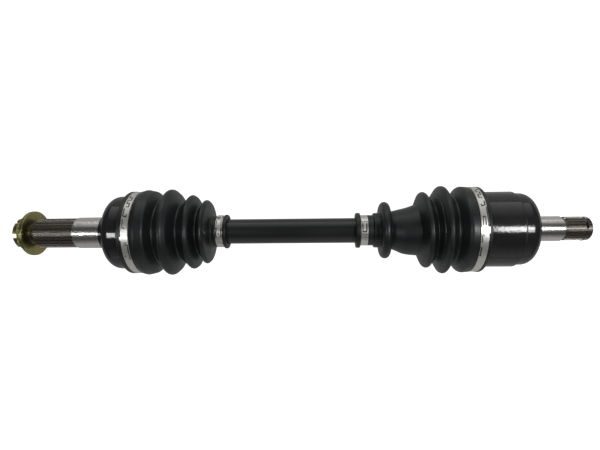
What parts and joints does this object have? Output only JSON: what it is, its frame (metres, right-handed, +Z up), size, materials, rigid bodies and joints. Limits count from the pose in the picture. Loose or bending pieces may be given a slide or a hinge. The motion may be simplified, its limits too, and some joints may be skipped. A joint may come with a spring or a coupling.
{
  "type": "cv axle",
  "caption": "Automotive drive half-shaft with a fixed ball joint at the wheel end, a plunging ball joint at the gearbox end, pleated rubber boots and band clamps.",
  "frame": {"origin": "on the shaft's axis at the shoulder where the hub journal meets the outer joint's collar", "axes": "+X along the shaft from the wheel end to the gearbox end; +Z up when the axle lies on its boots; Y is the joints' bend axis"},
  "size_m": [0.5045, 0.076, 0.076],
  "materials": {
    "black_paint": "gloss black paint on forged steel; machined and bare on the journals and splines",
    "bar_paint": "satin black paint",
    "yellow_zinc": "yellow chromate over zinc-plated steel",
    "bearing_steel": "ground and polished",
    "cage_steel": "case-hardened, oiled",
    "boot_rubber": "satin moulded rubber",
    "clamp_steel": "bright stainless band",
    "spring_steel": "oiled spring steel"
  },
  "bodies": {
    "shaft": {"intermediate_shaft": "bar_paint", "outer_inner_race": "bearing_steel", "outer_race_circlip": "spring_steel", "inner_inner_race": "bearing_steel", "inner_race_circlip": "spring_steel", "outer_boot_small_clamp": "clamp_steel", "inner_boot_small_clamp": "clamp_steel"},
    "outer_joint": {"outer_bell_stub": "black_paint", "hub_washer": "yellow_zinc", "hub_nut": "yellow_zinc", "outer_boot": "boot_rubber", "outer_boot_large_clamp": "clamp_steel"},
    "outer_ball_set": {"outer_cage": "cage_steel", "outer_ball_1": "bearing_steel", "outer_ball_2": "bearing_steel", "outer_ball_3": "bearing_steel", "outer_ball_4": "bearing_steel", "outer_ball_5": "bearing_steel", "outer_ball_6": "bearing_steel"},
    "inner_boot_carrier": {"inner_boot": "boot_rubber"},
    "inner_joint": {"inner_housing_stub": "black_paint", "inner_retaining_ring": "spring_steel", "inner_boot_large_clamp": "clamp_steel", "inner_stub_circlip": "spring_steel"},
    "inner_ball_set": {"inner_cage": "cage_steel", "inner_ball_1": "bearing_steel", "inner_ball_2": "bearing_steel", "inner_ball_3": "bearing_steel", "inner_ball_4": "bearing_steel", "inner_ball_5": "bearing_steel", "inner_ball_6": "bearing_steel"}
  },
  "joints": [
    {"name": "outer_bend", "type": "hinge", "parent": "shaft", "child": "outer_joint", "pos_m": [0.028, 0, 0], "axis": [0, 1, 0], "range_deg": [-40, 40], "deforming": ["outer_boot"]},
    {"name": "outer_cage_turn", "type": "hinge", "parent": "shaft", "child": "outer_ball_set", "pos_m": [0.028, 0, 0], "axis": [0, 1, 0], "range_deg": [-20, 20]},
    {"name": "inner_bend", "type": "hinge", "parent": "shaft", "child": "inner_boot_carrier", "pos_m": [0.34, 0, 0], "axis": [0, 1, 0], "range_deg": [-18, 18], "deforming": ["inner_boot"]},
    {"name": "plunge", "type": "slide", "parent": "inner_boot_carrier", "child": "inner_joint", "axis": [1, 0, 0], "range_m": [-0.009, 0.006], "deforming": ["inner_boot"]},
    {"name": "inner_cage_turn", "type": "hinge", "parent": "shaft", "child": "inner_ball_set", "pos_m": [0.34, 0, 0], "axis": [0, 1, 0], "range_deg": [-9, 9]}
  ],
  "couplings": [
    {"joint": "outer_cage_turn", "follows": "outer_bend", "ratio": 0.5},
    {"joint": "inner_cage_turn", "follows": "inner_bend", "ratio": 0.5}
  ]
}
